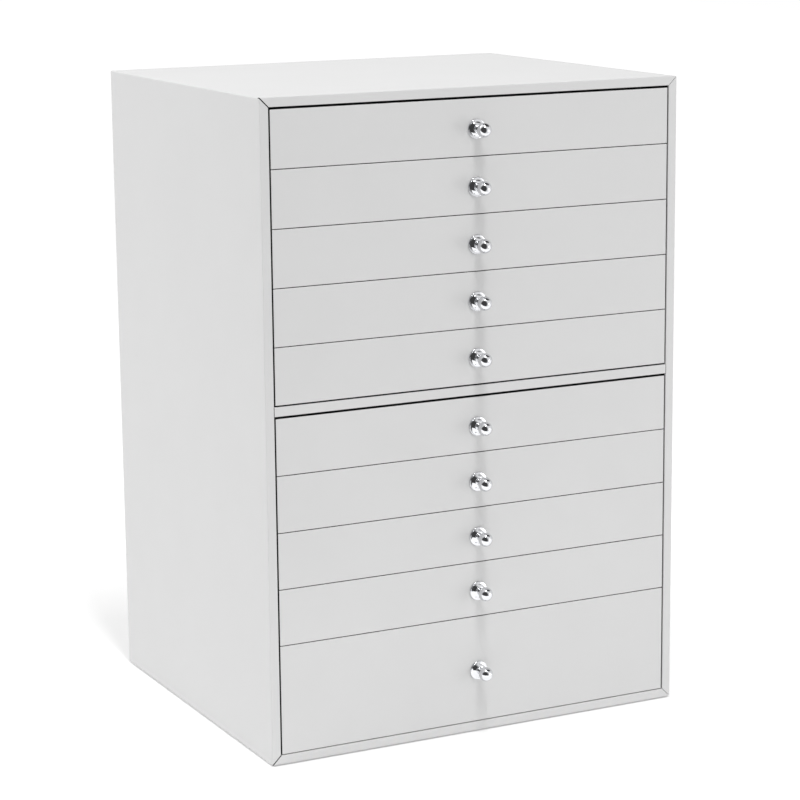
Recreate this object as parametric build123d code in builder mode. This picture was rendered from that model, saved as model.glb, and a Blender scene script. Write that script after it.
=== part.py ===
from build123d import *
import math
import os
from collections import namedtuple

os.makedirs("parts", exist_ok=True)

# A free-standing jewellery cabinet: a mitred case of wrapped board, split by a shelf into two bays
# of five drawers. Millimetres. The origin is the middle of the underside, +Z is up and the drawers
# pull out along -Y.

# The case
case_width = 295.0
case_depth = 250.0
case_height = 420.0
board = 6.0
corner_round = 1.0
edge_round = 0.6
mouth_round = 0.4
mitre_seam = 0.4
mitre_seam_depth = 2.0
back_board = 3.0
back_rebate = 3.0
shelf_shoulder = 12.0
housing_depth = 2.0
felt_thickness = 0.8
felt_margin = 5.0

# The drawer fronts and the gaps round them. The deep front is at the bottom of the lower bay, and the
# shallow ones share what it leaves of the case's height.
deep_front = 70.5
front_board = 5.0
front_round = 0.5
front_gap = 0.5
top_gap = 1.5
lower_bottom_gap = 0.5
upper_bottom_gap = 1.0
side_gap = 1.0

# The thin boards that the drawers slide on
divider_board = 2.4
divider_setback = 0.5

# The drawer trays
tray_wall = 2.5
tray_floor = 2.0
tray_side_gap = 1.1
tray_headroom = 1.7
rear_clearance = 4.0
slide_gap = 0.3
glue_line = 0.05

# The velvet fittings inside the trays
pad_thickness = 2.0
liner_thickness = 1.2
liner_drop = 1.0
partition = 3.0
partition_drop = 3.5
lap_clearance = 0.1
roll_count = 12
roll_height = 20.0
roll_slit = 0.5
roll_foot = 0.8

# The knobs and the screws that hold them
knob_drop = 1.0
flange_radius = 6.2
flange_rim = 0.9
flange_dome = 2.3
neck_radius = 2.5
ball_radius = 4.6
ball_reach = 10.2
ball_tip_radius = 0.9
ball_bands = 6
knob_sides = 20
tapped_radius = 1.5
tapped_depth = 6.5
screw_radius = 1.45
screw_grip = 5.5
screw_head_radius = 2.7
screw_head_thickness = 1.6
screw_sides = 12
head_recess = 0.2
screw_clearance = 0.15

# What each drawer holds, from the lowest of its bay up: columns and rows of compartments, or ring
# rolls
Grid = namedtuple("Grid", "columns rows")
RING_ROLLS = "ring rolls"
lower_fittings = [Grid(2, 1), Grid(1, 1), Grid(2, 1), Grid(3, 2), RING_ROLLS]
upper_fittings = [Grid(1, 1), Grid(2, 1), Grid(3, 1), Grid(3, 2), RING_ROLLS]
lower_drawer_count = len(lower_fittings)
upper_drawer_count = len(upper_fittings)


def gaps_in_bay(drawer_count, bottom_gap):
    """The height of the gaps above, between and below the fronts of one bay."""
    return top_gap + front_gap * (drawer_count - 1) + bottom_gap


# Levels from the resting face up
case_bottom = felt_thickness
case_top = case_height
lower_floor = case_bottom + board
upper_ceiling = case_top - board
lower_gaps = gaps_in_bay(lower_drawer_count, lower_bottom_gap)
upper_gaps = gaps_in_bay(upper_drawer_count, upper_bottom_gap)
height_for_fronts = upper_ceiling - lower_floor - board - lower_gaps - upper_gaps
shallow_front = (height_for_fronts - deep_front) / (lower_drawer_count + upper_drawer_count - 1)
lower_bay = [deep_front] + [shallow_front] * (lower_drawer_count - 1)
upper_bay = [shallow_front] * upper_drawer_count
shelf_bottom = lower_floor + sum(lower_bay) + lower_gaps
upper_floor = shelf_bottom + board

# Widths and depths that follow from the sizes above
inner_width = case_width - 2 * board
half_inner = inner_width / 2
front_y = -case_depth / 2
rear_y = case_depth / 2
back_face_y = rear_y - back_board
divider_front_y = front_y + front_board + divider_setback
tray_front_y = front_y + front_board
tray_width = inner_width - 2 * tray_side_gap
tray_length = back_face_y - rear_clearance - tray_front_y
front_width = inner_width - 2 * side_gap

Drawer = namedtuple("Drawer", "front_low front_height seat tray_height fittings")


def drawers_in(bay_floor, bottom_gap, fronts, fittings):
    """The drawers of one bay from the lowest up; the lowest slides on the bay's own floor."""
    row = []
    low = bay_floor + bottom_gap
    seat = bay_floor
    for height, fitting in zip(fronts, fittings):
        tray_height = height + front_gap - divider_board - slide_gap - tray_headroom
        row.append(Drawer(low, height, seat, tray_height, fitting))
        low += height + front_gap
        seat = low - front_gap / 2 + divider_board / 2
    return row


lower_drawers = drawers_in(lower_floor, lower_bottom_gap, lower_bay, lower_fittings)
upper_drawers = drawers_in(upper_floor, upper_bottom_gap, upper_bay, upper_fittings)


def divider_levels(drawers):
    """The underside of each thin board; every drawer but the lowest slides on one."""
    return [drawer.seat - divider_board for drawer in drawers[1:]]


def save(builder, name):
    """Names one finished piece and writes it under that name."""
    builder.part.label = name
    export_step(builder.part, f"parts/{name}.step")


def block(x_span, y_span, z_span, mode=Mode.ADD):
    """A board between two limits on each axis."""
    size = [high - low for low, high in (x_span, y_span, z_span)]
    middle = [(high + low) / 2 for low, high in (x_span, y_span, z_span)]
    with Locations(tuple(middle)):
        Box(*size, mode=mode)


def cut_mitre_seams():
    """A fine slot along each mitre in the front edge, where the boards' wrapping meets."""
    for hand in (-1, 1):
        for rise, inner_level in ((-1, lower_floor), (1, upper_ceiling)):
            middle = (hand * (half_inner + board / 2), front_y, inner_level + rise * board / 2)
            with Locations(Location(middle, (0, -45 * hand * rise, 0))):
                Box(2 * board, 2 * mitre_seam_depth, mitre_seam, mode=Mode.SUBTRACT)


# The four outer boards. The frame is shaped as one rounded ring, then each board is the part of it
# between two mitres.
with BuildPart() as frame_ring:
    with BuildSketch(Plane.XZ.offset(-rear_y)):
        with Locations((0, (case_bottom + case_top) / 2)):
            RectangleRounded(case_width, case_top - case_bottom, corner_round)
            Rectangle(inner_width, case_top - case_bottom - 2 * board, mode=Mode.SUBTRACT)
    extrude(amount=case_depth)
    fillet(frame_ring.faces().sort_by(Axis.Y)[0].outer_wire().edges(), edge_round)
    fillet(frame_ring.faces().sort_by(Axis.Y)[-1].outer_wire().edges(), edge_round)
    fillet(frame_ring.faces().sort_by(Axis.Y)[0].inner_wires()[0].edges(), mouth_round)
    block(
        (-half_inner - back_rebate, half_inner + back_rebate),
        (back_face_y, rear_y),
        (lower_floor - back_rebate, upper_ceiling + back_rebate),
        mode=Mode.SUBTRACT,
    )
    cut_mitre_seams()

half_width = case_width / 2
outer_corners = [
    (-half_width, case_bottom),
    (half_width, case_bottom),
    (half_width, case_top),
    (-half_width, case_top),
]
inner_corners = [
    (-half_inner, lower_floor),
    (half_inner, lower_floor),
    (half_inner, upper_ceiling),
    (-half_inner, upper_ceiling),
]


def mitred_board(side):
    """The part of the ring on one side of the case, numbered from the base round to the left."""
    following = (side + 1) % 4
    corners = [outer_corners[side], outer_corners[following], inner_corners[following], inner_corners[side]]
    with BuildPart() as wedge:
        with BuildSketch(Plane.XZ.offset(-rear_y)):
            Polygon(*corners, align=None)
        extrude(amount=case_depth)
        add(frame_ring.part, mode=Mode.INTERSECT)
    return wedge


def cut_housings(hand):
    """Grooves in a side board's inner face for the shelf and the thin boards; hand is -1 on the left."""
    face = sorted((hand * half_inner, hand * (half_inner + housing_depth)))
    for level in divider_levels(lower_drawers) + divider_levels(upper_drawers):
        block(face, (divider_front_y, back_face_y), (level, level + divider_board), mode=Mode.SUBTRACT)
    block(face, (front_y + shelf_shoulder, back_face_y), (shelf_bottom, upper_floor), mode=Mode.SUBTRACT)


base_panel = mitred_board(0)
save(base_panel, "base_panel")

right_board = mitred_board(1)
with BuildPart() as side_right:
    add(right_board.part)
    cut_housings(1)
save(side_right, "side_right")

top_panel = mitred_board(2)
save(top_panel, "top_panel")

left_board = mitred_board(3)
with BuildPart() as side_left:
    add(left_board.part)
    cut_housings(-1)
save(side_left, "side_left")

# The shelf butts against the sides at the front, and its tongues sit in their housings behind.
tongue = half_inner + housing_depth
with BuildPart() as middle_shelf:
    block((-half_inner, half_inner), (front_y, back_face_y), (shelf_bottom, upper_floor))
    block((-tongue, tongue), (front_y + shelf_shoulder, back_face_y), (shelf_bottom, upper_floor))
    fillet(middle_shelf.faces().sort_by(Axis.Y)[0].edges().filter_by(Axis.X), mouth_round)
save(middle_shelf, "middle_shelf")

with BuildPart() as back_panel:
    block(
        (-half_inner - back_rebate, half_inner + back_rebate),
        (back_face_y, rear_y),
        (lower_floor - back_rebate, upper_ceiling + back_rebate),
    )
save(back_panel, "back_panel")

with BuildPart() as base_felt:
    block(
        (-half_width + felt_margin, half_width - felt_margin),
        (front_y + felt_margin, rear_y - felt_margin),
        (0, felt_thickness),
    )
save(base_felt, "base_felt")

for bay_name, bay_drawers in (("lower", lower_drawers), ("upper", upper_drawers)):
    with BuildPart() as dividers:
        for level in divider_levels(bay_drawers):
            block((-tongue, tongue), (divider_front_y, back_face_y), (level, level + divider_board))
    save(dividers, f"{bay_name}_dividers")


def drawer_front(drawer):
    """The visible board of a drawer, with the screw hole counterbored from behind."""
    with BuildPart() as front:
        block(
            (-front_width / 2, front_width / 2),
            (front_y, tray_front_y),
            (drawer.front_low, drawer.front_low + drawer.front_height),
        )
        fillet(front.faces().sort_by(Axis.Y)[0].edges(), front_round)
        behind = Plane(origin=(0, tray_front_y, knob_height(drawer)), z_dir=(0, 1, 0))
        with Locations(behind):
            CounterBoreHole(
                radius=screw_radius + screw_clearance,
                counter_bore_radius=screw_head_radius + screw_clearance,
                counter_bore_depth=screw_head_thickness + head_recess,
            )
    return front


def knob_height(drawer):
    """Each knob sits a little below mid-height on its front."""
    return drawer.front_low + drawer.front_height / 2 - knob_drop


def tray(drawer):
    """An open box of five boards: a floor, two long sides, and two ends glued between the sides."""
    half = tray_width / 2
    bottom = drawer.seat + slide_gap
    wall_foot = bottom + tray_floor + glue_line
    rim = bottom + drawer.tray_height
    rear = tray_front_y + tray_length
    half_end = half - tray_wall - glue_line
    with BuildPart() as body:
        block((-half, half), (tray_front_y, rear), (bottom, bottom + tray_floor))
        for hand in (-1, 1):
            side = sorted((hand * half, hand * (half - tray_wall)))
            block(side, (tray_front_y, rear), (wall_foot, rim))
        block((-half_end, half_end), (tray_front_y, tray_front_y + tray_wall), (wall_foot, rim))
        block((-half_end, half_end), (rear - tray_wall, rear), (wall_foot, rim))
    return body


def strip_middles(half_span, count):
    """Where the strips stand that part a span into equal compartments."""
    bay = (2 * half_span - (count - 1) * partition) / count
    return [-half_span + step * (bay + partition) - partition / 2 for step in range(1, count)]


def ring_rolls(half_length, y_span, foot):
    """Foam rolls side by side: each has a flat foot, sides that lean in a little, and a round crown."""
    pitch = (y_span[1] - y_span[0]) / roll_count
    crown = (pitch - roll_slit) / 2
    shoulder = foot + roll_height - crown
    with BuildPart() as rolls:
        with BuildSketch(Plane.YZ.offset(-half_length)):
            for step in range(roll_count):
                y_middle = y_span[0] + (step + 0.5) * pitch
                with BuildLine():
                    front_side = Line((y_middle - crown + roll_foot, foot), (y_middle - crown, shoulder))
                    over = ThreePointArc(
                        front_side @ 1,
                        (y_middle, foot + roll_height),
                        (y_middle + crown, shoulder),
                    )
                    rear_side = Line(over @ 1, (y_middle + crown - roll_foot, foot))
                    Line(rear_side @ 1, front_side @ 0)
                make_face()
        extrude(amount=2 * half_length)
    return [rolls.part]


def lining(drawer):
    """The velvet-covered fittings: a floor pad, four wall liners, and partitions or ring rolls."""
    outer_x = tray_width / 2 - tray_wall - glue_line
    outer_front = tray_front_y + tray_wall + glue_line
    outer_rear = tray_front_y + tray_length - tray_wall - glue_line
    middle_y = (outer_front + outer_rear) / 2
    half_y = (outer_rear - outer_front) / 2
    inner_x = outer_x - liner_thickness - glue_line
    inner_y = half_y - liner_thickness - glue_line
    pad_foot = drawer.seat + slide_gap + tray_floor + glue_line
    pad_top = pad_foot + pad_thickness
    rim = drawer.seat + slide_gap + drawer.tray_height
    foot = pad_top + glue_line
    if drawer.fittings == RING_ROLLS:
        filling = ring_rolls(inner_x, (middle_y - inner_y, middle_y + inner_y), foot)
    else:
        filling = crossed_strips(drawer.fittings, (inner_x, inner_y), middle_y, (foot, rim - partition_drop))
    with BuildPart() as fitted:
        block((-outer_x, outer_x), (outer_front, outer_rear), (pad_foot, pad_top))
        for hand in (-1, 1):
            side = sorted((hand * outer_x, hand * (outer_x - liner_thickness)))
            block(side, (outer_front, outer_rear), (foot, rim - liner_drop))
            end = sorted((middle_y + hand * half_y, middle_y + hand * (half_y - liner_thickness)))
            block((-inner_x, inner_x), end, (foot, rim - liner_drop))
        add(filling)
    return fitted


def crossed_strips(grid, half_spans, middle_y, z_span):
    """Partitions halved into each other where they cross, so that each strip stays one length."""
    half_x, half_y = half_spans
    foot, top = z_span
    lap = (foot + top) / 2
    half_slot = partition / 2 + lap_clearance
    long_strips = strip_middles(half_x, grid.columns)
    cross_strips = [middle_y + place for place in strip_middles(half_y, grid.rows)]
    strips = []
    for x_middle in long_strips:
        with BuildPart() as strip:
            x_span = (x_middle - partition / 2, x_middle + partition / 2)
            block(x_span, (middle_y - half_y + glue_line, middle_y + half_y - glue_line), z_span)
            for y_middle in cross_strips:
                block(x_span, (y_middle - half_slot, y_middle + half_slot), (foot, lap), mode=Mode.SUBTRACT)
        strips.append(strip.part)
    for y_middle in cross_strips:
        with BuildPart() as strip:
            y_span = (y_middle - partition / 2, y_middle + partition / 2)
            block((-half_x + glue_line, half_x - glue_line), y_span, z_span)
            for x_middle in long_strips:
                x_slot = (x_middle - half_slot, x_middle + half_slot)
                block(x_slot, y_span, (lap - glue_line, top), mode=Mode.SUBTRACT)
        strips.append(strip.part)
    return strips


def turned(profile, sides):
    """A turned piece with flat sides, from its reach and radius along the axis. Each pair of opposite
    sides is the piece's outline cut right across, and the cuts are turned evenly about the axis."""
    outline = [(radius, reach) for reach, radius in profile]
    outline += [(-radius, reach) for radius, reach in reversed(outline)]
    widest = max(radius for reach, radius in profile)
    with BuildPart() as piece:
        for cut in range(sides // 2):
            turn = 2 * math.pi * cut / sides
            across = (math.cos(turn), 0, math.sin(turn))
            along_cut = (math.sin(turn), 0, -math.cos(turn))
            with BuildSketch(Plane(origin=(0, 0, 0), x_dir=across, z_dir=along_cut)):
                Polygon(*outline, align=None)
            extrude(amount=2 * widest, both=True, mode=Mode.INTERSECT if cut else Mode.ADD)
    return piece


# One knob, reaching out along -Y from its seat: a coned flange, a slim neck and a ball, tapped from
# behind for its screw.
first_turn = -math.acos(neck_radius / ball_radius)
last_turn = math.acos(ball_tip_radius / ball_radius)
ball_turns = [first_turn + band * (last_turn - first_turn) / ball_bands for band in range(ball_bands + 1)]
flange_profile = [(0, flange_radius), (flange_rim, flange_radius), (flange_dome, neck_radius)]
ball_profile = [
    (ball_reach + ball_radius * math.sin(turn), ball_radius * math.cos(turn)) for turn in ball_turns
]
knob_outside = turned(flange_profile + ball_profile, knob_sides)
knob_bore = turned([(0, tapped_radius), (tapped_depth, tapped_radius)], screw_sides)
with BuildPart() as knob:
    add(knob_outside.part)
    add(knob_bore.part, mode=Mode.SUBTRACT)

# Its cheese-head screw goes through the front from behind.
head_face = head_recess - front_board
head_foot = head_face + screw_head_thickness
knob_screw = turned(
    [
        (head_face, screw_head_radius),
        (head_foot, screw_head_radius),
        (head_foot, screw_radius),
        (screw_grip, screw_radius),
    ],
    screw_sides,
)


def on_front(piece, drawer):
    """A copy of a piece of the knob, seated at its height on a drawer's front."""
    with BuildPart() as placed:
        with Locations((0, front_y, knob_height(drawer))):
            add(piece.part)
    return placed


# Drawer 1 is the top one and drawer 10 the deep one at the bottom.
for number, drawer in enumerate(reversed(lower_drawers + upper_drawers), start=1):
    save(drawer_front(drawer), f"drawer_{number}_front")
    save(tray(drawer), f"drawer_{number}_tray")
    save(lining(drawer), f"drawer_{number}_lining")
    save(on_front(knob, drawer), f"drawer_{number}_knob")
    save(on_front(knob_screw, drawer), f"drawer_{number}_knob_screw")

print(f"case {case_width:.1f} x {case_depth:.1f} x {case_top:.1f} mm")
print(f"tray length {tray_length:.1f} mm, width {tray_width:.1f} mm")
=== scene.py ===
# %% [markdown]
# # A jewellery cabinet in white leatherette
# The cabinet is a case of thin mitred boards wrapped in white leatherette. A shelf parts it into two
# bays, and ten drawers slide in them, each with one small chrome knob. Inside, everything is black:
# card trays, and fittings covered in velvet.
# The CAD model already fixes where each piece is, so this lesson only dresses it. The boards keep
# their CAD shape and get a finish. The knobs are made again as smooth turned surfaces, and the
# velvet fittings as soft ones.

# %% Load the frame
import math
import bmesh
import bpy
import numpy as np
from mathutils import Matrix, Vector


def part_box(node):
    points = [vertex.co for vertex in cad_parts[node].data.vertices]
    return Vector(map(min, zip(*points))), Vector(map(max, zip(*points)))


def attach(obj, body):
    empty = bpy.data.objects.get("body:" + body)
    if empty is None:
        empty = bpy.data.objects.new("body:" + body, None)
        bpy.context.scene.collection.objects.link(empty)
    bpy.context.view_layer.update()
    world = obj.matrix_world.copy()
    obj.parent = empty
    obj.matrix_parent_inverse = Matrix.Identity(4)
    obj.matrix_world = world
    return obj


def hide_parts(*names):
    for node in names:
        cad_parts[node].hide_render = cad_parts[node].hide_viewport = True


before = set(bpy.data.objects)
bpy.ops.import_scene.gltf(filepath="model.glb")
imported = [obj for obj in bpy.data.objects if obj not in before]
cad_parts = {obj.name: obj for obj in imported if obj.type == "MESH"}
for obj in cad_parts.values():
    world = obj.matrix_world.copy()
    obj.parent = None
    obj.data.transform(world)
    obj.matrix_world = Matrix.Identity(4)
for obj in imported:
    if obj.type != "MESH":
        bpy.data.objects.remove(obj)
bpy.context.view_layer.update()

# %% [markdown]
# ## Sizes that the finishes share
# A pattern looks right when its scale comes from a real size, so every size is written in
# millimetres and turned to metres once. The places come from the CAD nodes themselves.

# %% Sizes and places
MM = 0.001
drawer_numbers = range(1, 11)
case_low, case_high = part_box("side_left")[0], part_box("side_right")[1]
case_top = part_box("top_panel")[1][2]
case_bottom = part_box("base_panel")[0][2]
shelf_low, shelf_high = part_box("middle_shelf")
front_face = case_low[1]
half_width = case_high[0]
board_thickness = shelf_high[2] - shelf_low[2]
rear_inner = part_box("back_panel")[0][1]
print(f"case {2 * half_width:.4f} m wide, {case_top:.4f} m high, front at y {front_face:.4f}")

# %% [markdown]
# ## Three small helpers for materials
# Colours are given as a screen shows them, so they are sRGB hex values, and Blender mixes light in
# linear values. One function turns the one into the other. A second one adds a node with its settings
# and links, so that a material reads as a short list of nodes. A third starts a material.


# %% Colour and node helpers
def linear(hex_colour):
    """The linear RGBA of an sRGB hex value: a straight toe below 0.04045, a power of 2.4 above it."""
    channels = np.array([int(hex_colour[place : place + 2], 16) for place in (1, 3, 5)]) / 255
    low = channels / 12.92
    high = ((channels + 0.055) / 1.055) ** 2.4
    return (*np.where(channels <= 0.04045, low, high), 1.0)


def add_node(tree, kind, inputs=(), **settings):
    """Adds one node. Settings are its own properties; an input is a value or another node's output."""
    node = tree.nodes.new(kind)
    for setting, value in settings.items():
        setattr(node, setting, value)
    for socket, value in dict(inputs).items():
        if isinstance(value, bpy.types.NodeSocket):
            tree.links.new(value, node.inputs[socket])
        else:
            node.inputs[socket].default_value = value
    return node


def start_material(name):
    """A material with only a Principled shader; returns the material, its node tree and the shader."""
    material = bpy.data.materials.new(name)
    material.use_nodes = True
    return material, material.node_tree, material.node_tree.nodes["Principled BSDF"]


print("white is", [round(channel, 3) for channel in linear("#e2e2e2")[:3]])

# %% [markdown]
# ## White leatherette
# The boards are wrapped in leatherette: cotton backing with a coat of white polyurethane, pressed
# with a fine pebble grain and finished satin. The coat gives the eye a soft broad sheen, and the
# grain breaks it up a little. The grain is about 0.6 mm across, less than one pixel here, so it is
# drawn at 1.3 mm, as coarse as it needs to show.
# The leatherette is turned in round the mouth of the case and stops there. Behind it the inner faces
# are lined with black card, and so are the edges of the drawers' fronts behind their facing. That black
# is also painted shade: it darkens the gaps round the drawers as their shade would, which is why they
# read black. Both finishes are on the same boards, so one mask picks the card and its painted shade: a
# point is on it when it lies inside a box.

# %% A mask for a box
turn_in = 1.6 * MM
card_margin = 0.2 * MM
housing_depth = 2 * MM
half_mouth = shelf_high[0] - housing_depth


def inside_box(tree, place, low, high, margin):
    """1 where a point is inside a box. The distance past each pair of faces is |p - middle| less the
    half size, and the point is inside when the greatest of the three is below the margin."""
    middle = [(a + b) / 2 for a, b in zip(low, high)]
    half = [(b - a) / 2 for a, b in zip(low, high)]
    offset = add_node(tree, "ShaderNodeVectorMath", {0: place, 1: middle}, operation="SUBTRACT")
    span = add_node(tree, "ShaderNodeVectorMath", {0: offset.outputs[0]}, operation="ABSOLUTE")
    past = add_node(tree, "ShaderNodeVectorMath", {0: span.outputs[0], 1: half}, operation="SUBTRACT")
    parts = add_node(tree, "ShaderNodeSeparateXYZ", {0: past.outputs[0]})
    wider = add_node(
        tree, "ShaderNodeMath", {0: parts.outputs[0], 1: parts.outputs[1]}, operation="MAXIMUM"
    )
    widest = add_node(
        tree, "ShaderNodeMath", {0: wider.outputs[0], 1: parts.outputs[2]}, operation="MAXIMUM"
    )
    inside = add_node(tree, "ShaderNodeMath", {0: widest.outputs[0], 1: margin}, operation="LESS_THAN")
    return inside.outputs[0]


print(f"the mouth is {2 * half_mouth:.4f} m wide")

# %% [markdown]
# ### Seams
# Where two wrapped boards meet, the leatherette ends and a thin dark line is left: the card's dark
# edge,
# with painted shade for the shade that falls into the joint. It shows on the front edge of the case:
# along the mitres, more open at the left than at the right, and at the ends of the shelf. The back
# panel has one all round it, painted shade as well. The lines are narrower than the boards' rounded
# edges, so a mask draws them on the surface, from the same sizes as the joints.

# %% Masks for the seams
# Sizes of the dark seam lines: the card's edge together with painted shade in the joints.
mitre_open = 0.5 * MM
mitre_shut = 0.05 * MM
joint_reach = 0.2 * MM
rebate_reach = 0.3 * MM
seam_depth = 2.0 * MM
seam_margin = 0.1 * MM


def front_seams_and_shade(tree, place):
    """1 along the seams in the case's front edge, from the face to their depth behind it: the card's
    dark edge and the painted shade in the joints. On a mitre |x| - |z - middle| is the same all along,
    and the mitres are pressed shut towards the right. At the shelf's ends |x| is half the mouth's width
    and z is between the shelf's faces."""
    centre = (0, front_face + seam_depth / 2, (case_top + case_bottom) / 2)
    mitre = half_width - (case_top - case_bottom) / 2
    shelf_middle = (shelf_low[2] + shelf_high[2]) / 2
    at = add_node(tree, "ShaderNodeSeparateXYZ", {0: place}).outputs
    centred = add_node(tree, "ShaderNodeVectorMath", {0: place, 1: centre}, operation="SUBTRACT")
    folded = add_node(tree, "ShaderNodeVectorMath", {0: centred.outputs[0]}, operation="ABSOLUTE")
    off = add_node(tree, "ShaderNodeSeparateXYZ", {0: folded.outputs[0]}).outputs
    reach = add_node(
        tree,
        "ShaderNodeMapRange",
        {
            "Value": at[0],
            "From Min": -half_width,
            "From Max": half_width,
            "To Min": mitre_open,
            "To Max": mitre_shut,
        },
    )
    across = add_node(tree, "ShaderNodeMath", {0: off[0], 1: off[2]}, operation="SUBTRACT")
    mitred = add_node(
        tree,
        "ShaderNodeMath",
        {0: across.outputs[0], 1: mitre, 2: reach.outputs["Result"]},
        operation="COMPARE",
    )
    end = add_node(
        tree, "ShaderNodeMath", {0: off[0], 1: half_mouth, 2: joint_reach}, operation="COMPARE"
    )
    level = add_node(
        tree, "ShaderNodeMath", {0: at[2], 1: shelf_middle, 2: board_thickness / 2}, operation="COMPARE"
    )
    joint = add_node(
        tree, "ShaderNodeMath", {0: end.outputs[0], 1: level.outputs[0]}, operation="MULTIPLY"
    )
    either = add_node(
        tree, "ShaderNodeMath", {0: mitred.outputs[0], 1: joint.outputs[0]}, operation="MAXIMUM"
    )
    near = add_node(
        tree, "ShaderNodeMath", {0: off[1], 1: seam_depth / 2 + seam_margin}, operation="LESS_THAN"
    )
    seam_and_shade = add_node(
        tree, "ShaderNodeMath", {0: either.outputs[0], 1: near.outputs[0]}, operation="MULTIPLY"
    )
    return seam_and_shade.outputs[0]


def back_seam_and_shade(tree, place):
    """1 round the rim of the back panel, where it lies in its rebate and a dark line of painted shade
    is
    drawn: all but the box that is left when the panel's outline is drawn in. The box is long enough to
    hold both faces."""
    low, high = (Vector(corner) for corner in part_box("back_panel"))
    reach = Vector((0, case_top, 0))
    face = inside_box(tree, place, low - reach, high + reach, margin=-rebate_reach)
    return add_node(tree, "ShaderNodeMath", {0: 1.0, 1: face}, operation="SUBTRACT").outputs[0]


# The ends of each drawer's front are painted black behind a narrow turn: painted shade for the side
# gaps.
end_turn = 0.35 * MM
end_margin = 0.1 * MM
front_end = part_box("drawer_1_front")[1][0]


def front_ends_shade(tree, place):
    """1 on the left and right end of a drawer's front, behind a narrow turn of the facing, where black
    card is painted as the shade in the side gaps: a box of |x|, |y| and z that starts just inside the
    end."""
    folded = add_node(tree, "ShaderNodeVectorMath", {0: place}, operation="ABSOLUTE")
    low = (front_end - end_margin, 0, case_bottom)
    high = (half_width, -front_face - end_turn, case_top)
    return inside_box(tree, folded.outputs[0], low, high, margin=0)


print(f"a drawer's front ends {1000 * (half_mouth - front_end):.2f} mm from the case")

# %% [markdown]
# ### The material
# The grain is a smooth Voronoi pattern, whose cells meet in soft valleys as pebbles do, and only its
# bump shows. Slow clouds turn the tone and the gloss a little, as an uneven coat does. The black card
# is rougher, so it looks dull.

# %% Leatherette
grain_width = 1.3 * MM
grain_depth = 0.012 * MM
cloud_width = 60 * MM
satin_low, satin_high = 0.46, 0.54
lining_roughness = 0.9
coat_specular = 0.35


def leatherette(name, box, seam_and_gap_shade):
    """White polyurethane leatherette with a pressed pebble grain, and black card inside a box and in
    the seams, which is also painted shade for the gaps and joints. The darkness is the greater of the
    two masks."""
    material, tree, shader = start_material(name)
    place = add_node(tree, "ShaderNodeTexCoord").outputs["Object"]
    pebbles = add_node(
        tree,
        "ShaderNodeTexVoronoi",
        {"Vector": place, "Scale": 1 / grain_width, "Smoothness": 0.6},
        feature="SMOOTH_F1",
    )
    clouds = add_node(
        tree,
        "ShaderNodeTexNoise",
        {"Vector": place, "Scale": 1 / cloud_width, "Detail": 3, "Roughness": 0.5},
    )
    tone = add_node(
        tree,
        "ShaderNodeMix",
        {"Factor": clouds.outputs["Fac"], "A": linear("#dcdcdc"), "B": linear("#e1e1e1")},
        data_type="RGBA",
    )
    gloss = add_node(
        tree,
        "ShaderNodeMapRange",
        {"Value": clouds.outputs["Fac"], "To Min": satin_low, "To Max": satin_high},
    )
    bump = add_node(
        tree,
        "ShaderNodeBump",
        {"Height": pebbles.outputs["Distance"], "Distance": grain_depth, "Strength": 1.0},
    )
    # Black card inside the box, which is also painted shade for the gaps round the drawers.
    lined_and_shaded = inside_box(tree, place, *box, margin=card_margin)
    # The greater of the card mask and the seam mask; both carry painted shade.
    dark = add_node(tree, "ShaderNodeMath", {0: lined_and_shaded, 1: seam_and_gap_shade(tree, place)}, operation="MAXIMUM")
    # The card's black colour, which is also painted shade in the gaps and the seams.
    colour = add_node(
        tree,
        "ShaderNodeMix",
        {"Factor": dark.outputs[0], "A": tone.outputs["Result"], "B": linear("#19191a")},
        data_type="RGBA",
    )
    roughness = add_node(
        tree,
        "ShaderNodeMix",
        {"Factor": dark.outputs[0], "A": gloss.outputs["Result"], "B": lining_roughness},
    )
    tree.links.new(colour.outputs["Result"], shader.inputs["Base Color"])
    tree.links.new(roughness.outputs["Result"], shader.inputs["Roughness"])
    tree.links.new(bump.outputs["Normal"], shader.inputs["Normal"])
    shader.inputs["Specular IOR Level"].default_value = coat_specular
    return material


# Inside the case the boards are black card, which also paints the shade deep in the gaps round the
# drawers.
case_lining_and_shade_box = (
    (-half_mouth, front_face + turn_in, case_bottom + board_thickness),
    (half_mouth, rear_inner, case_top - board_thickness),
)
case_leatherette = leatherette("white_leatherette_case", case_lining_and_shade_box, front_seams_and_shade)
back_leatherette = leatherette("white_leatherette_back", case_lining_and_shade_box, back_seam_and_shade)

# Behind their facing the fronts' edges are black card, which also paints the shade seen on them in the
# gaps.
facing_thickness = 0.9 * MM
front_lining_and_shade_box = (
    (-half_width, front_face + facing_thickness, case_bottom),
    (half_width, rear_inner, case_top),
)
front_leatherette = leatherette("white_leatherette_fronts", front_lining_and_shade_box, front_ends_shade)
print("leatherette for", case_leatherette.name, back_leatherette.name, front_leatherette.name)

# %% [markdown]
# ## Black card
# The trays and the thin boards between them are grey board covered in black paper. It is dull, with
# short fibres that show as faint lighter flecks. A noise stretched along the sheet gives them.

# %% Card
fleck_width = 0.7 * MM
tooth_depth = 0.02 * MM
paper_roughness = 0.82


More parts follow.
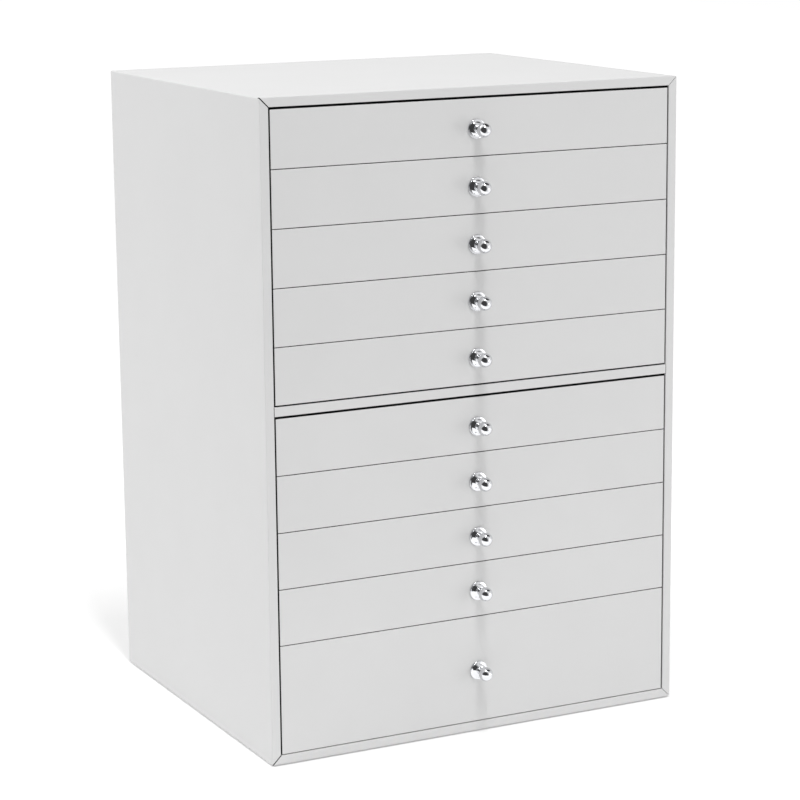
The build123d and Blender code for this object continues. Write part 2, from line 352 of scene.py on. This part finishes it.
def black_card(name):
    """Matt black paper on board: dark flecked colour, high roughness, a fine tooth."""
    material, tree, shader = start_material(name)
    place = add_node(tree, "ShaderNodeTexCoord").outputs["Object"]
    along = add_node(tree, "ShaderNodeMapping", {"Vector": place, "Scale": (1, 0.3, 1)})
    flecks = add_node(
        tree,
        "ShaderNodeTexNoise",
        {"Vector": along.outputs[0], "Scale": 1 / fleck_width, "Detail": 4, "Roughness": 0.7},
    )
    colour = add_node(
        tree,
        "ShaderNodeMix",
        {"Factor": flecks.outputs["Fac"], "A": linear("#151516"), "B": linear("#2b2b2d")},
        data_type="RGBA",
    )
    tooth = add_node(
        tree,
        "ShaderNodeBump",
        {"Height": flecks.outputs["Fac"], "Distance": tooth_depth, "Strength": 1.0},
    )
    tree.links.new(colour.outputs["Result"], shader.inputs["Base Color"])
    tree.links.new(tooth.outputs["Normal"], shader.inputs["Normal"])
    shader.inputs["Roughness"].default_value = paper_roughness
    return material


card = black_card("black_paper_card")
print("card has flecks", round(fleck_width / MM, 2), "mm wide")

# %% [markdown]
# ## Velvet and felt
# Velvet is a woven ground with a short upright pile. Seen straight on, light falls between the fibres
# and it looks black; seen along the surface, the fibre tips catch light, which is what the shader's
# sheen draws. The pile also leans in patches, as if stroked, so a slow noise lightens its tone in
# patches: partly the fibres' own tone, partly painted sheen where the leaning pile would catch light.
# Felt is pressed wool without a pile: duller, and flecked by its fibres.

# %% Pile fabrics
pile_width = 0.5 * MM
pile_depth = 0.15 * MM
pile_roughness = 0.95
pile_specular = 0.1
sheen_roughness = 0.45
stroke_low, stroke_high = 0.36, 0.64
stroke_width = 28 * MM
wool_width = 0.9 * MM
wool_patch = 15 * MM


def pile_fabric(name, dark, light, sheen, tuft_width, patch_width):
    """A fibrous black fabric: fine tufts raise it, and slow patches lighten its colour, as tone and as
    painted sheen.
    """
    material, tree, shader = start_material(name)
    place = add_node(tree, "ShaderNodeTexCoord").outputs["Object"]
    tufts = add_node(
        tree,
        "ShaderNodeTexNoise",
        {"Vector": place, "Scale": 1 / tuft_width, "Detail": 3, "Roughness": 0.8},
    )
    patches = add_node(
        tree,
        "ShaderNodeTexNoise",
        {"Vector": place, "Scale": 1 / patch_width, "Detail": 2, "Distortion": 0.6},
    )
    sheen_and_tone_patches = add_node(
        tree,
        "ShaderNodeMapRange",
        {"Value": patches.outputs["Fac"], "From Min": stroke_low, "From Max": stroke_high},
    )
    sheen_and_tone = add_node(
        tree,
        "ShaderNodeMath",
        {0: tufts.outputs["Fac"], 1: sheen_and_tone_patches.outputs["Result"]},
        operation="MULTIPLY",
    )
    # The lighter colour in the patches is partly painted sheen.
    colour = add_node(
        tree,
        "ShaderNodeMix",
        {"Factor": sheen_and_tone.outputs[0], "A": linear(dark), "B": linear(light)},
        data_type="RGBA",
    )
    relief = add_node(
        tree,
        "ShaderNodeBump",
        {"Height": tufts.outputs["Fac"], "Distance": pile_depth, "Strength": 0.8},
    )
    tree.links.new(colour.outputs["Result"], shader.inputs["Base Color"])
    tree.links.new(relief.outputs["Normal"], shader.inputs["Normal"])
    shader.inputs["Roughness"].default_value = pile_roughness
    shader.inputs["Specular IOR Level"].default_value = pile_specular
    shader.inputs["Sheen Weight"].default_value = sheen
    shader.inputs["Sheen Roughness"].default_value = sheen_roughness
    return material


# The lighter of the two colours is partly painted sheen in the stroked patches.
velvet = pile_fabric(
    "black_cotton_velvet",
    "#0d0d0f",
    "#38383e",
    sheen=0.45,
    tuft_width=pile_width,
    patch_width=stroke_width,
)
felt = pile_fabric(
    "black_wool_felt",
    "#141415",
    "#303033",
    sheen=0.25,
    tuft_width=wool_width,
    patch_width=wool_patch,
)

# %% [markdown]
# ## Chrome and steel
# The knobs are brass, polished and chromium plated, so they mirror the studio: white floor and soft
# boxes, and the dark room behind the camera. Chromium is a slightly grey metal, and its plating has a
# faint waviness that a very small bump gives. The screws behind them are zinc plated steel, duller,
# with fine turning marks.

# %% Metals
plating_wave = 3 * MM
turning_pitch = 0.25 * MM
metal_relief = 0.01 * MM
haze_low, haze_high = 0.7, 1.3


def plated_metal(name, colour, roughness, wave_width, wave_depth):
    """A plated metal: full metallic, with a wave in its surface that also makes it a little more or
    less rough."""
    material, tree, shader = start_material(name)
    place = add_node(tree, "ShaderNodeTexCoord").outputs["Object"]
    wave = add_node(tree, "ShaderNodeTexNoise", {"Vector": place, "Scale": 1 / wave_width, "Detail": 2})
    haze = add_node(
        tree,
        "ShaderNodeMapRange",
        {
            "Value": wave.outputs["Fac"],
            "To Min": roughness * haze_low,
            "To Max": roughness * haze_high,
        },
    )
    relief = add_node(
        tree, "ShaderNodeBump", {"Height": wave.outputs["Fac"], "Distance": wave_depth, "Strength": 1.0}
    )
    tree.links.new(haze.outputs["Result"], shader.inputs["Roughness"])
    tree.links.new(relief.outputs["Normal"], shader.inputs["Normal"])
    shader.inputs["Base Color"].default_value = linear(colour)
    shader.inputs["Metallic"].default_value = 1.0
    return material


chrome = plated_metal(
    "chromium_plated_brass",
    "#dcdde0",
    roughness=0.05,
    wave_width=plating_wave,
    wave_depth=metal_relief,
)
zinc_steel = plated_metal(
    "zinc_plated_steel",
    "#b4b5b8",
    roughness=0.32,
    wave_width=turning_pitch,
    wave_depth=metal_relief,
)

# %% [markdown]
# ## Dress the CAD nodes
# A CAD node's shape is never changed, only its material. The boards are already right, with their
# rounded edges and mitres, so they keep their shape here.


# %% Give each CAD node its finish
def dress(node, material):
    """Puts one material on the whole of a CAD node."""
    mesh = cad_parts[node].data
    mesh.materials.clear()
    mesh.materials.append(material)


for board in ("base_panel", "side_left", "side_right", "top_panel", "middle_shelf"):
    dress(board, case_leatherette)
dress("back_panel", back_leatherette)
for board in ("lower_dividers", "upper_dividers"):
    dress(board, card)
dress("base_felt", felt)
for number in drawer_numbers:
    dress(f"drawer_{number}_front", front_leatherette)
    dress(f"drawer_{number}_tray", card)
    dress(f"drawer_{number}_lining", velvet)
    dress(f"drawer_{number}_knob", chrome)
    dress(f"drawer_{number}_knob_screw", zinc_steel)
print("dressed", len(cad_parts), "nodes")

# %% [markdown]
# ## Meshes from grids
# Every new piece is one or more grids of points worked out with numpy. Neighbouring points make a
# quad. A grid may close on itself in either direction, as a tube does, and its two ends may be
# capped. One function turns grids into shells, and another joins shells into one mesh. A third gives
# the points of an arc, which most profiles are made of.


# %% Grid helpers
def shell(points, around=False, along=False, capped=False):
    """Points and faces of a (rows, columns, 3) grid. around joins the last column to the first, along
    joins the last row to the first, and capped closes the first and last rows with one face each."""
    rows, columns = points.shape[:2]
    index = np.arange(rows * columns).reshape(rows, columns)
    ends = [index[0][::-1].tolist(), index[-1].tolist()] if capped else []
    if around:
        index = np.hstack([index, index[:, :1]])
    if along:
        index = np.vstack([index, index[:1]])
    quads = np.stack([index[:-1, :-1], index[:-1, 1:], index[1:, 1:], index[1:, :-1]], axis=-1)
    return points.reshape(-1, 3), quads.reshape(-1, 4).tolist() + ends


def piece(name, shells, body, node, material, merge=0.01 * MM):
    """One object from shells: doubles merged, faces turned outwards, shaded smooth, and set to ride on
    a body in place of a CAD node."""
    points, faces, count = [], [], 0
    for shell_points, shell_faces in shells:
        points.append(shell_points)
        faces += [[corner + count for corner in face] for face in shell_faces]
        count += len(shell_points)
    mesh = bpy.data.meshes.new(name)
    mesh.from_pydata(np.vstack(points).tolist(), [], faces)
    work = bmesh.new()
    work.from_mesh(mesh)
    bmesh.ops.remove_doubles(work, verts=work.verts, dist=merge)
    bmesh.ops.recalc_face_normals(work, faces=work.faces)
    work.to_mesh(mesh)
    work.free()
    mesh.shade_smooth()
    mesh.materials.append(material)
    made = bpy.data.objects.new(name, mesh)
    bpy.context.scene.collection.objects.link(made)
    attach(made, body)
    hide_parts(node)
    return made


def arc(middle, radius, start, end, count):
    """Points on an arc in a plane, from one angle to another in degrees, as (count, 2)."""
    turn = np.radians(np.linspace(start, end, count))
    return np.stack([middle[0] + radius * np.cos(turn), middle[1] + radius * np.sin(turn)], axis=-1)


print("a quarter circle in three points", arc((0, 0), 1, 0, 90, 3).round(3).tolist())

# %% [markdown]
# ## The knobs
# Each knob is turned from one bar: a round flange with a softened rim and a domed face, a slim neck,
# and a ball. A turned piece is a profile spun about its axis, so the profile is all there is to
# design. It is a list of arcs, each given as reach from the front board and radius from the axis, and
# the cosine and sine of the turn carry it round.

# %% Knobs
flange_radius = 6.2
rim_round = 0.35
rim_height = 1.0
undercut = 0.25
foot_radius = flange_radius - undercut
step_radius = 4.7
dome_middle = -4.4
dome_radius = 7.2
neck_radius = 2.1
neck_fillet = 0.8
ball_radius = 4.6
ball_reach = 10.1
rim_steps, dome_steps, fillet_steps, ball_steps = 7, 14, 8, 36
knob_sides = 72

dome_start = math.degrees(math.asin(step_radius / dome_radius))
dome_end = math.degrees(math.asin((neck_radius + neck_fillet) / dome_radius))
dome_foot = dome_middle + dome_radius * math.cos(math.radians(dome_end))
waist = math.degrees(math.asin(neck_radius / ball_radius))
knob_profile = np.vstack(
    [
        [[0, 0], [0, foot_radius], [undercut, foot_radius], [undercut, flange_radius]],
        arc((rim_height - rim_round, flange_radius - rim_round), rim_round, 90, 0, rim_steps),
        arc((dome_middle, 0), dome_radius, dome_start, dome_end, dome_steps),
        arc((dome_foot + neck_fillet, neck_radius + neck_fillet), neck_fillet, 180, 270, fillet_steps),
        arc((ball_reach, 0), ball_radius, 180 - waist, 0, ball_steps),
    ]
)


def spin(profile, height, sides):
    """A profile of (reach, radius) in mm spun about the knob's axis: x is radius times the cosine of
    the turn, z is radius times its sine, and y is the reach out from the front face."""
    turn = np.linspace(0, 2 * np.pi, sides, endpoint=False)[:, None]
    reach, radius = profile[:, 0] * MM, profile[:, 1] * MM
    x = radius * np.cos(turn)
    z = radius * np.sin(turn) + height
    y = np.broadcast_to(front_face - reach, x.shape)
    return np.stack([x, y, z], axis=-1)


for number in drawer_numbers:
    low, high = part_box(f"drawer_{number}_knob")
    turned = shell(spin(knob_profile, (low[2] + high[2]) / 2, knob_sides), along=True)
    piece(f"knob_{number}", [turned], f"drawer_{number}", f"drawer_{number}_knob", chrome)
print("knob profile has", len(knob_profile), "points")

# %% [markdown]
# ## Velvet fittings
# Each drawer holds a padded floor, a velvet-covered wall liner, and either partitions or a row of
# foam rolls for rings. In the CAD model these are plain blocks that keep the right room. Here they
# are replaced by soft ones: the padded floor swells in each compartment and is held down under the
# partitions, the liners and partitions have round velvet-covered tops, and the rolls are crowned and
# rounded at their ends.
# All sizes are in millimetres, and every place is taken from the lining nodes.

# %% What each drawer holds
RING_ROLLS = "ring rolls"
fittings = {
    1: RING_ROLLS,
    2: (3, 2),
    3: (3, 1),
    4: (2, 1),
    5: (1, 1),
    6: RING_ROLLS,
    7: (3, 2),
    8: (2, 1),
    9: (1, 1),
    10: (2, 1),
}
pad_thickness = 2.0
pad_rim_drop = 0.5
pad_swell = 0.3
liner_thickness = 1.2
partition_thickness = 3.0
partition_drop = 2.5
roll_count = 12
roll_height = 20.0


def lining_room(number):
    """The lining node's lowest and highest corners at rest, in millimetres."""
    low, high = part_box(f"drawer_{number}_lining")
    return np.array(low) / MM, np.array(high) / MM


def compartment_edges(low, high, count):
    """The limits of equal compartments across a span, with a partition between each two."""
    width = (high - low - (count - 1) * partition_thickness) / count
    starts = low + np.arange(count) * (width + partition_thickness)
    return starts, starts + width


print("drawer 2 holds", fittings[2], "compartments in", lining_room(2)[1] - lining_room(2)[0])

# %% [markdown]
# ### The padded floor
# One sheet of thin foam covers the whole floor, with velvet drawn over it and glued down along the
# edges of each compartment. It is made nearly flat: across a compartment its height is a low
# flat-topped hump, one minus the fourth power of the place between the edges, and the humps of the two
# directions are multiplied. The cloth simulation further on makes it swell and wrinkle.


# %% Padded floors
pad_steps = 26


def humps(starts, ends, steps):
    """Places along a span and the pad's hump at each: 1 - s^4 inside a compartment, where s runs from
    -1 to 1, and 0 under a partition."""
    s = np.linspace(-1, 1, steps)
    places = np.concatenate([(a + b) / 2 + s * (b - a) / 2 for a, b in zip(starts, ends)])
    return places, np.tile(1 - s**4, len(starts))


def padded_floor(number, columns, rows):
    """A slab whose top is the product of the humps along x and y, over a flat foot."""
    low, high = lining_room(number)
    inner_low, inner_high = low + liner_thickness, high - liner_thickness
    x, hump_x = humps(*compartment_edges(inner_low[0], inner_high[0], columns), pad_steps)
    y, hump_y = humps(*compartment_edges(inner_low[1], inner_high[1], rows), pad_steps)
    x_grid, y_grid = np.meshgrid(x, y)
    top = low[2] + pad_thickness - pad_rim_drop + pad_swell * hump_y[:, None] * hump_x[None, :]
    upper = np.stack([x_grid, y_grid, top], axis=-1)
    lower = np.stack([x_grid, y_grid, np.full_like(top, low[2])], axis=-1)
    rim = np.concatenate([upper[0], upper[1:, -1], upper[-1, -2::-1], upper[-2:0:-1, 0]])
    foot = rim * [1, 1, 0] + [0, 0, low[2]]
    wall = np.stack([rim, foot])
    return [shell(upper * MM), shell(lower * MM), shell(wall * MM, around=True)]


print("a compartment's pad has", pad_steps, "points each way")

# %% [markdown]
# ### Liners and partitions
# Both are card strips covered in velvet, with a round top edge. Their cross-section is the same: up
# one face, over a half circle and down the other face. The liner carries it round the four walls of
# the tray, and a partition carries it straight across.

# %% Strips
top_steps = 9
strip_foot = pad_thickness / 2
liner_clearance = 0.05


def strip_section(thickness, foot, top):
    """Half thickness out and height, up one side, over a half circle and down the other."""
    half = thickness / 2
    over = arc((0, top - half), half, 180, 0, top_steps)
    return np.vstack([[[-half, foot]], over, [[half, foot]]])


def wall_liner(number):
    """The strip's section carried round a rectangle, mitred at its corners."""
    low, high = lining_room(number)
    section = strip_section(liner_thickness, low[2] + strip_foot, high[2])
    inset = liner_thickness / 2 + liner_clearance
    corners = np.array([[-1, -1], [1, -1], [1, 1], [-1, 1]])
    middle, half = (low + high)[:2] / 2, (high - low)[:2] / 2 - inset
    ring = middle + corners[:, None] * (half - section[None, :, :1])
    heights = np.broadcast_to(section[None, :, 1:], (4, len(section), 1))
    return shell(np.concatenate([ring, heights], axis=-1) * MM, around=True, along=True)


def partition(start, end, foot, top, across):
    """The strip's section carried straight from one end to the other; across is the axis it crosses."""
    section = strip_section(partition_thickness, foot, top)
    run = np.array([start, end])
    rows = []
    for point in run:
        offsets = np.zeros((len(section), 3))
        offsets[:, across] = section[:, 0]
        offsets[:, 2] = section[:, 1]
        rows.append(offsets + [*point, 0])
    return shell(np.stack(rows) * MM, around=True, capped=True)


def partitions(number, columns, rows):
    """The partitions between compartments, each from liner to liner."""
    low, high = lining_room(number)
    inner_low, inner_high = low + liner_thickness, high - liner_thickness
    foot, top = low[2] + strip_foot, high[2] - partition_drop
    strips = []
    starts, ends = compartment_edges(inner_low[0], inner_high[0], columns)
    for x in (ends[:-1] + starts[1:]) / 2:
        strips.append(partition((x, inner_low[1]), (x, inner_high[1]), foot, top, 0))
    starts, ends = compartment_edges(inner_low[1], inner_high[1], rows)
    for y in (ends[:-1] + starts[1:]) / 2:
        strips.append(partition((inner_low[0], y), (inner_high[0], y), foot, top, 1))
    return strips


print("drawer 2 has", len(partitions(2, *fittings[2])), "partitions")

# %% [markdown]
# ### Ring rolls
# A ring is held in the slit between two foam rolls, so the rolls stand tight side by side. Seen from
# the end, a roll is an upright super-ellipse, a shape between an ellipse and a rectangle, and its foot
# is sunk in the pad. Towards its ends the velvet is drawn in, so the section shrinks there along a
# quarter circle. Handwork is never quite even, so each roll's height waves a little in its own way.

# %% Rolls
roll_slit = 0.9
roll_sink = 0.8
roll_clearance = 0.3
end_round = 5.0
end_draw = 0.6
end_steps = 8
run_steps = 10
section_steps = 28
squareness = 2.6
unevenness = 0.15
uneven_length = 21
uneven_turn = 2.1


def ring_roll(number, step):
    """A super-ellipse section |a|^n + |b|^n = 1 carried along x, drawn in towards its ends."""
    low, high = lining_room(number)
    left, right = low[0] + liner_thickness, high[0] - liner_thickness
    front, rear = low[1] + liner_thickness, high[1] - liner_thickness
    pitch = (rear - front) / roll_count
    middle_y = front + (step + 0.5) * pitch
    foot = low[2] + pad_thickness - roll_sink
    turn = np.linspace(0, 2 * np.pi, section_steps, endpoint=False)
    power = 2 / squareness
    side = np.sign(np.cos(turn)) * np.abs(np.cos(turn)) ** power
    rise = np.sign(np.sin(turn)) * np.abs(np.sin(turn)) ** power
    bend = np.radians(np.linspace(0, 90, end_steps))
    near = left + end_round * (1 - np.cos(bend))
    far = (left + right - near)[::-1]
    along = np.concatenate([near, np.linspace(near[-1], far[0], run_steps + 2)[1:-1], far])
    shrink = end_round * (1 - np.sin(bend)) * end_draw
    draw_in = np.concatenate([shrink, np.zeros(run_steps), shrink[::-1]])
    uneven = unevenness * np.sin(along / uneven_length + uneven_turn * step + number)
    half_roll = (pitch - roll_slit - draw_in) / 2
    half_height = (roll_height - draw_in + uneven) / 2 - roll_clearance
    y = middle_y + half_roll[:, None] * side[None, :]
    z = foot + roll_height / 2 + half_height[:, None] * rise[None, :]
    x = np.broadcast_to(along[:, None], y.shape)
    return shell(np.stack([x, y, z], axis=-1) * MM, around=True, capped=True)


print("a ring roll has", len(ring_roll(1, 0)[0]), "points")

# %% [markdown]
# ### Into the drawers
# Each piece rides on its drawer and stands for the drawer's lining. A padded one is kept in a list
# with the level up to which its velvet is glued down.

# %% Fill the drawers
roll_glue_share = 0.15
glue_skin = 0.01
padding = []
for number, held in fittings.items():
    low, high = lining_room(number)
    if held == RING_ROLLS:
        soft = [ring_roll(number, step) for step in range(roll_count)]
        soft_name = f"ring_rolls_{number}"
        stiff = [wall_liner(number)]
        glued_below = low[2] + pad_thickness + roll_height * roll_glue_share
    else:
        soft = padded_floor(number, *held)
        soft_name = f"padded_floor_{number}"
        stiff = [wall_liner(number)] + partitions(number, *held)
        glued_below = low[2] + pad_thickness - pad_rim_drop + glue_skin
    carrier, node = f"drawer_{number}", f"drawer_{number}_lining"
    pad = piece(soft_name, soft, carrier, node, velvet)
    padding.append((pad, glued_below * MM))
    piece(f"liner_{number}", stiff, carrier, node, velvet)
print("fittings made for", len(fittings), "drawers")

# %% [markdown]
# ### Velvet over foam
# How far the velvet swells between its glued edges, and where it wrinkles, could be sculpted by eye.
# A cloth simulation finds it from the real causes: the foam pushes out as a pressure does, the velvet
# is cut a little larger than its place, and the points below the glue line are pinned. Gravity is
# off, because the foam carries the weight. A cap, through the hyperbolic tangent, keeps the velvet
# within the room that the drawer has.

# %% Cloth
cloth_frames = 20
foam_push = 4.0
point_mass = 0.01
velvet_stretch = 15.0
velvet_slack = 0.006
swell_limit = 1.2 * MM
still_length = 1e-9


def mesh_points(mesh):
    """A mesh's points as an array of (count, 3)."""
    flat = np.empty(len(mesh.vertices) * 3, dtype=np.float32)
    mesh.vertices.foreach_get("co", flat)
    return flat.reshape(-1, 3)


def glue_down(pad, level):
    """Gives a pad its cloth, with the points up to a level pinned."""
    glued = pad.vertex_groups.new(name="glued")
    glued.add(np.flatnonzero(mesh_points(pad.data)[:, 2] <= level).tolist(), 1.0, "REPLACE")
    cloth = pad.modifiers.new("velvet", "CLOTH")
    cloth.point_cache.frame_end = cloth_frames
    settings = cloth.settings
    settings.vertex_group_mass = glued.name
    settings.mass = point_mass
    settings.tension_stiffness = velvet_stretch
    settings.compression_stiffness = velvet_stretch
    settings.use_pressure = True
    settings.uniform_pressure_force = foam_push
    settings.shrink_min = -velvet_slack
    settings.effector_weights.gravity = 0


def keep_swell(pad):
    """Takes the simulated shape into the mesh. A move of length d becomes limit * tanh(d / limit)."""
    posed = pad.evaluated_get(bpy.context.evaluated_depsgraph_get())
    before = mesh_points(pad.data)
    move = mesh_points(posed.data) - before
    length = np.linalg.norm(move, axis=1, keepdims=True)
    share = swell_limit * np.tanh(length / swell_limit) / np.maximum(length, still_length)
    pad.modifiers.clear()
    pad.data.vertices.foreach_set("co", (before + move * share).ravel())
    pad.data.update()
    return float(length.max() / MM)


for pad, level in padding:
    glue_down(pad, level)
for step in range(1, cloth_frames + 1):
    bpy.context.scene.frame_set(step)
swells = {pad.name: round(keep_swell(pad), 2) for pad, level in padding}
bpy.context.scene.frame_set(1)
print("swell in mm before the cap", swells)

# %% [markdown]
# ## The studio
# The cabinet stands on a white paper sweep in soft light. The paper is white to the camera, because
# it glows a little for the rays that are seen, straight or mirrored, which Light Path tells apart, so
# that no more light than plain has to fall on the cabinet. The lamps' light falls off over the paper,
# so the glow grows with the distance from the cabinet. Near it the glow is low, and the cabinet's
# faint shadow stays.

# %% Floor
floor_mesh = bpy.data.meshes.new("floor")
sweep_half = 5.0
sweep_front = -0.5
floor_mesh.from_pydata(
    [
        (-sweep_half, sweep_front, 0),
        (sweep_half, sweep_front, 0),
        (sweep_half, 2 * sweep_half, 0),
        (-sweep_half, 2 * sweep_half, 0),
    ],
    [],
    [(0, 1, 2, 3)],
)
floor = bpy.data.objects.new("floor", floor_mesh)
bpy.context.scene.collection.objects.link(floor)

near_reach, far_reach = 0.3, 5.0
near_glow, far_glow = 0.2, 0.5
mirrored_glow = 0.45
sweep_roughness = 0.9

paper, tree, shader = start_material("white_paper_sweep")
light_path = add_node(tree, "ShaderNodeLightPath")
place = add_node(tree, "ShaderNodeTexCoord").outputs["Object"]
distance = add_node(tree, "ShaderNodeVectorMath", {0: place}, operation="LENGTH")
fill = add_node(
    tree,
    "ShaderNodeMapRange",
    {
        "Value": distance.outputs["Value"],
        "From Min": near_reach,
        "From Max": far_reach,
        "To Min": near_glow,
        "To Max": far_glow,
    },
)
seen = add_node(
    tree,
    "ShaderNodeMath",
    {0: light_path.outputs["Is Camera Ray"], 1: fill.outputs["Result"]},
    operation="MULTIPLY",
)
mirrored_or_through = add_node(
    tree,
    "ShaderNodeMath",
    {0: light_path.outputs["Is Glossy Ray"], 1: light_path.outputs["Is Transmission Ray"]},
    operation="MAXIMUM",
)
mirrored_paper = add_node(
    tree, "ShaderNodeMath", {0: mirrored_or_through.outputs[0], 1: mirrored_glow}, operation="MULTIPLY"
)
glow = add_node(
    tree, "ShaderNodeMath", {0: seen.outputs[0], 1: mirrored_paper.outputs[0]}, operation="MAXIMUM"
)
tree.links.new(glow.outputs[0], shader.inputs["Emission Strength"])
shader.inputs["Emission Color"].default_value = linear("#ffffff")
shader.inputs["Base Color"].default_value = linear("#f2f2f2")
shader.inputs["Roughness"].default_value = sweep_roughness
shader.inputs["Specular IOR Level"].default_value = 0.0
floor_mesh.materials.append(paper)
print("the paper reaches", sweep_half, "m to each side")

# %% [markdown]
# ### What surrounds the cabinet
# Polished metal is only as good as what it mirrors. A studio is never white all round: the open end
# of the room, where the camera stands, is dark, and so is the unlit part of the ceiling. Both are
# directions in the surroundings, and only mirrored rays see them. The camera sees plain white.

# %% Surroundings
world = bpy.data.worlds.new("studio")
bpy.context.scene.world = world
world.use_nodes = True
tree = world.node_tree
tree.nodes.clear()
room_light = 0.615
mirrored_light, mirrored_dark = 0.95, 0.06
towards_doorway = (-0.62, -0.78, 0.05)
towards_ceiling = (0.45, 0.05, 0.89)
light_path = add_node(tree, "ShaderNodeLightPath")
direction = add_node(tree, "ShaderNodeTexCoord").outputs["Generated"]


def dark_part(towards, inner, outer):
    """1 in the direction of a dark part of the room and 0 away from it. The dot product of two unit
    vectors is the cosine of the angle between them, and it fades between an inner and outer angle."""
    facing = add_node(
        tree,
        "ShaderNodeVectorMath",
        {0: direction, 1: Vector(towards).normalized()},
        operation="DOT_PRODUCT",
    )
    fade = add_node(
        tree,
        "ShaderNodeMapRange",
        {
            "Value": facing.outputs["Value"],
            "From Min": math.cos(math.radians(outer)),
            "From Max": math.cos(math.radians(inner)),
        },
    )
    return fade.outputs["Result"]


doorway = dark_part(towards_doorway, inner=42, outer=62)
ceiling = dark_part(towards_ceiling, inner=24, outer=40)
darkness = add_node(tree, "ShaderNodeMath", {0: doorway, 1: ceiling}, operation="MAXIMUM")
mirrored = add_node(
    tree,
    "ShaderNodeMapRange",
    {"Value": darkness.outputs[0], "To Min": mirrored_light, "To Max": mirrored_dark},
)
plain = add_node(tree, "ShaderNodeBackground", {"Color": linear("#ffffff"), "Strength": room_light})
white = add_node(tree, "ShaderNodeBackground", {"Color": linear("#ffffff"), "Strength": 1.0})
room = add_node(
    tree, "ShaderNodeBackground", {"Color": linear("#ffffff"), "Strength": mirrored.outputs["Result"]}
)
through = add_node(
    tree,
    "ShaderNodeMath",
    {0: light_path.outputs["Is Camera Ray"], 1: light_path.outputs["Is Transmission Ray"]},
    operation="MAXIMUM",
)
lit = add_node(
    tree,
    "ShaderNodeMixShader",
    {0: light_path.outputs["Is Glossy Ray"], 1: plain.outputs[0], 2: room.outputs[0]},
)
shown = add_node(
    tree, "ShaderNodeMixShader", {0: through.outputs[0], 1: lit.outputs[0], 2: white.outputs[0]}
)
add_node(tree, "ShaderNodeOutputWorld", {"Surface": shown.outputs[0]})
print("the room's own light is", room_light)

# %% [markdown]
# ### The lamps
# Four soft boxes light the cabinet. A long narrow one hangs high in front, and it throws the soft
# streak under each knob. A small one low at the right and one at the left even out the front and the
# side, and a weak one high behind brightens the top.


# %% Soft boxes
def soft_box(name, place, target, width, height, level):
    """An area light aimed at a point. A lamp's light on a surface facing it falls with the square of
    the distance, so its power is the level wanted there times (pi times the distance) squared."""
    lamp = bpy.data.lights.new(name, "AREA")
    lamp.shape = "RECTANGLE"
    lamp.size = width
    lamp.size_y = height
    gap = Vector(target) - Vector(place)
    lamp.energy = level * (math.pi * gap.length) ** 2
    made = bpy.data.objects.new(name, lamp)
    made.matrix_world = Matrix.Translation(place) @ gap.to_track_quat("-Z", "Y").to_matrix().to_4x4()
    made.visible_camera = False
    bpy.context.scene.collection.objects.link(made)
    print(name, f"{lamp.energy:.1f} W")


middle = (0, 0, case_top / 2)
soft_box("overhead_box", (-0.3, -1.6, 3.9), middle, width=0.45, height=1.8, level=0.38)
soft_box("right_box", (1.2, -1.3, 0.15), middle, width=0.7, height=0.7, level=0.105)
soft_box("rear_box", (-1.3, 0.8, 3.1), middle, width=1.5, height=1.2, level=0.03)
soft_box("left_box", (-1.5, 0.6, 1.5), middle, width=0.9, height=0.9, level=0.205)

# %% [markdown]
# ## The camera
# The camera stands left of the cabinet and a little above it, with a long lens from 1.8 m away. Its
# turn, tilt and lean are given as angles, and the rotation is made of them in that order.

# %% Camera
camera_place = (-0.7712, -1.54586, 0.55613)
camera_angles = (-26.744, 11.701, -0.566)
camera_turn, camera_tilt, camera_lean = (math.radians(angle) for angle in camera_angles)
lens_mm = 116.639
sensor_mm = 36.0

camera_data = bpy.data.cameras.new("camera")
camera_data.lens = lens_mm
camera_data.sensor_width = sensor_mm
camera = bpy.data.objects.new("camera", camera_data)
bpy.context.scene.collection.objects.link(camera)
aim = Matrix.Rotation(camera_turn, 3, "Z") @ Matrix.Rotation(-camera_tilt, 3, "X")
aim = aim @ Matrix.Rotation(-camera_lean, 3, "Y") @ Matrix.Rotation(math.radians(90), 3, "X")
camera.matrix_world = Matrix.Translation(camera_place) @ aim.to_4x4()
bpy.context.scene.camera = camera
bpy.context.scene.view_settings.view_transform = "Standard"
print("the camera stands", round((Vector(camera_place) - Vector(middle)).length, 2), "m away")
